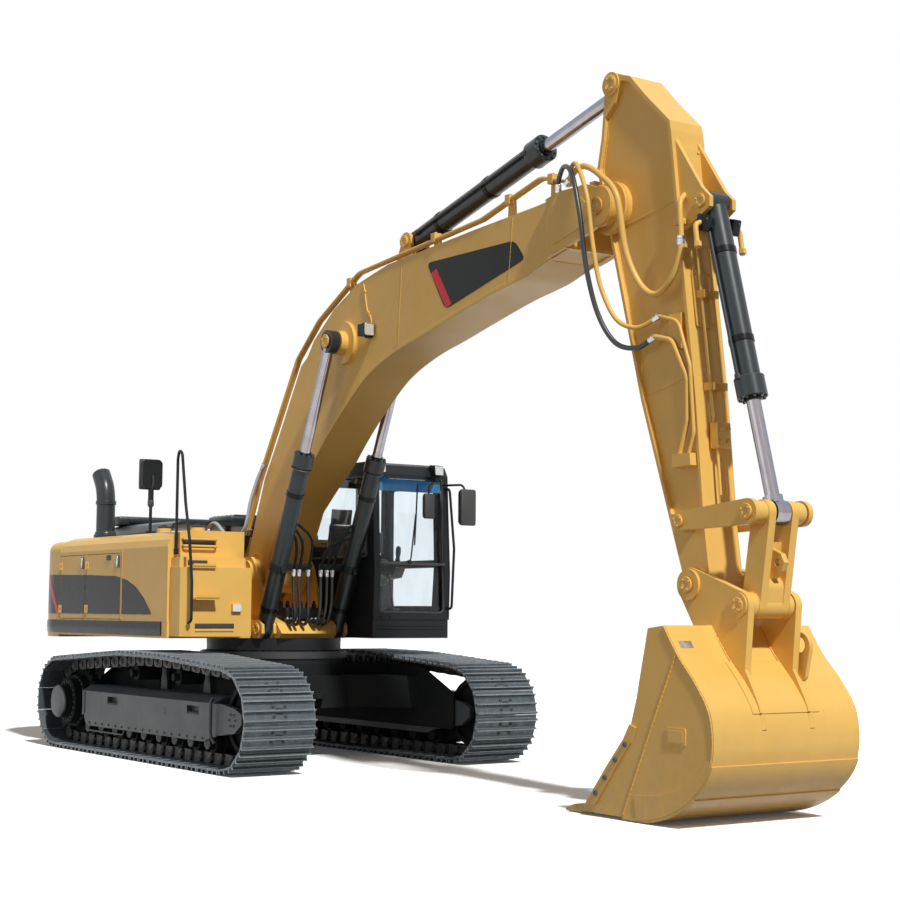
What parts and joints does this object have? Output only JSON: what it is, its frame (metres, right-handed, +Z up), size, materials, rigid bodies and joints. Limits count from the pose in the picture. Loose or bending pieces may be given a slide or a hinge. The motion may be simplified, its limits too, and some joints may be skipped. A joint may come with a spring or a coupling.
{
  "type": "crawler excavator",
  "caption": "Full-size crawler excavator with bent boom, stick, bucket, hydraulic cylinders, hollow cab and opening doors.",
  "frame": {"origin": "centre of the whole machine's footprint box, on the ground plane", "axes": "+X the way the cab looks, along the length; +Y to the machine's left; +Z up"},
  "size_m": [11.0798, 3.34, 5.9649],
  "materials": {
    "black_paint": "satin",
    "chrome": "polished",
    "dark_plastic": "matte",
    "engine_iron": "matte",
    "glass": "clear",
    "grey_paint": "satin",
    "radiator_alloy": "matte",
    "seat_cloth": "woven",
    "track_steel": "worn",
    "yellow_paint": "satin"
  },
  "bodies": {
    "undercarriage": {"car_body": "grey_paint", "track_frame_right": "grey_paint", "track_frame_left": "grey_paint", "track_right": "track_steel", "track_left": "track_steel", "sprockets": "grey_paint", "idlers": "grey_paint", "bottom_rollers": "grey_paint", "carrier_rollers": "grey_paint", "swing_ring_lower": "black_paint"},
    "upper": {"swing_ring_upper": "black_paint", "upper_frame": "yellow_paint", "counterweight": "yellow_paint", "engine": "engine_iron", "radiator": "radiator_alloy", "body_panels": "yellow_paint", "tank": "yellow_paint", "toolbox": "yellow_paint", "exhaust": "black_paint", "cab_shell": "yellow_paint", "cab_glass": "glass", "seat": "seat_cloth", "consoles": "dark_plastic", "handrails": "black_paint", "right_mirror": "black_paint", "left_mirrors": "black_paint", "cab_lamps": "black_paint", "visor": "glass"},
    "cab_door": {"cab_door": "yellow_paint", "door_glass": "glass"},
    "right_rear_door": {"right_rear_door": "yellow_paint"},
    "right_front_door": {"right_front_door": "yellow_paint"},
    "left_rear_door": {"left_rear_door": "yellow_paint"},
    "left_front_door": {"left_front_door": "yellow_paint"},
    "engine_hood": {"engine_hood": "black_paint"},
    "boom": {"boom": "yellow_paint", "boom_tubes": "yellow_paint", "boom_lamp": "black_paint"},
    "boom_cylinder_barrels": {"boom_cylinder_barrels": "black_paint"},
    "boom_cylinder_rods": {"boom_cylinder_rods": "chrome"},
    "stick": {"stick": "yellow_paint", "stick_tubes": "yellow_paint"},
    "stick_cylinder_barrel": {"stick_cylinder_barrel": "black_paint"},
    "stick_cylinder_rod": {"stick_cylinder_rod": "chrome"},
    "bucket_cylinder_barrel": {"bucket_cylinder_barrel": "black_paint"},
    "bucket_cylinder_rod": {"bucket_cylinder_rod": "chrome"},
    "side_links": {"side_links": "yellow_paint"},
    "power_link": {"power_link": "yellow_paint"},
    "bucket": {"bucket": "yellow_paint", "bucket_teeth": "track_steel"}
  },
  "joints": [
    {"name": "swing", "type": "hinge", "parent": "undercarriage", "child": "upper", "pos_m": [-2.09, 0, 1.108], "axis": [0, 0, 1], "continuous": true},
    {"name": "boom_lift", "type": "hinge", "parent": "upper", "child": "boom", "pos_m": [-2.04, 0, 1.925], "axis": [0, -1, 0], "range_deg": [-66, 30]},
    {"name": "stick_in", "type": "hinge", "parent": "boom", "child": "stick", "pos_m": [3.775, 0, 4.825], "axis": [0, 1, 0], "range_deg": [-60, 40]},
    {"name": "bucket_curl", "type": "hinge", "parent": "stick", "child": "bucket", "pos_m": [4.794, 0, 1.742], "axis": [0, 1, 0], "range_deg": [-75, 76]},
    {"name": "boom_cylinder_tilt", "type": "hinge", "parent": "upper", "child": "boom_cylinder_barrels", "pos_m": [-1.519, 0, 1.336], "axis": [0, -1, 0], "range_deg": [-65.03, 29.83]},
    {"name": "boom_cylinder_stroke", "type": "slide", "parent": "boom_cylinder_barrels", "child": "boom_cylinder_rods", "axis": [0.403, 0, 0.9152], "range_m": [-0.8616, 0.3938]},
    {"name": "stick_cylinder_tilt", "type": "hinge", "parent": "boom", "child": "stick_cylinder_barrel", "pos_m": [0.603, 0, 5.1], "axis": [0, -1, 0], "range_deg": [-8.6, 5.9]},
    {"name": "stick_cylinder_stroke", "type": "slide", "parent": "stick_cylinder_barrel", "child": "stick_cylinder_rod", "axis": [0.9721, 0, 0.2345], "range_m": [-0.886, 0.592]},
    {"name": "bucket_cylinder_tilt", "type": "hinge", "parent": "stick", "child": "bucket_cylinder_barrel", "pos_m": [4.802, 0, 4.699], "axis": [0, -1, 0], "range_deg": [-4.13, 4.08]},
    {"name": "bucket_cylinder_stroke", "type": "slide", "parent": "bucket_cylinder_barrel", "child": "bucket_cylinder_rod", "axis": [0.2501, 0, -0.9682], "range_m": [-0.6194, 0.6276]},
    {"name": "side_link_tilt", "type": "hinge", "parent": "stick", "child": "side_links", "pos_m": [4.702, 0, 2.224], "axis": [0, -1, 0], "range_deg": [-54.96, 54.25]},
    {"name": "power_link_tilt", "type": "hinge", "parent": "bucket", "child": "power_link", "pos_m": [5.315, 0, 1.589], "axis": [0, -1, 0], "range_deg": [-51.19, 51.87]},
    {"name": "cab_door_open", "type": "hinge", "parent": "upper", "child": "cab_door", "pos_m": [-2.142, 1.516, 2.2], "axis": [0, 0, 1], "range_deg": [0, 160]},
    {"name": "right_rear_door_open", "type": "hinge", "parent": "upper", "child": "right_rear_door", "pos_m": [-4.434, -1.498, 1.77], "axis": [0, 0, -1], "range_deg": [0, 110]},
    {"name": "right_front_door_open", "type": "hinge", "parent": "upper", "child": "right_front_door", "pos_m": [-3.694, -1.498, 1.77], "axis": [0, 0, -1], "range_deg": [0, 110]},
    {"name": "left_rear_door_open", "type": "hinge", "parent": "upper", "child": "left_rear_door", "pos_m": [-4.434, 1.498, 1.77], "axis": [0, 0, 1], "range_deg": [0, 110]},
    {"name": "left_front_door_open", "type": "hinge", "parent": "upper", "child": "left_front_door", "pos_m": [-3.694, 1.498, 1.77], "axis": [0, 0, 1], "range_deg": [0, 110]},
    {"name": "engine_hood_open", "type": "hinge", "parent": "upper", "child": "engine_hood", "pos_m": [-4.432, 0, 2.315], "axis": [0, -1, 0], "range_deg": [0, 60]}
  ],
  "couplings": [
    {"joint": "boom_cylinder_tilt", "follows": "boom_lift", "ratio": 0.97778},
    {"joint": "boom_cylinder_stroke", "follows": "boom_lift", "m_per_rad": 0.74447},
    {"joint": "stick_cylinder_tilt", "follows": "stick_in", "ratio": 0.135},
    {"joint": "stick_cylinder_stroke", "follows": "stick_in", "m_per_rad": 0.84225},
    {"joint": "bucket_cylinder_tilt", "follows": "bucket_curl", "ratio": -0.04779},
    {"joint": "bucket_cylinder_stroke", "follows": "bucket_curl", "m_per_rad": 0.47011},
    {"joint": "side_link_tilt", "follows": "bucket_curl", "ratio": -0.7166},
    {"joint": "power_link_tilt", "follows": "bucket_curl", "ratio": 0.6759}
  ]
}
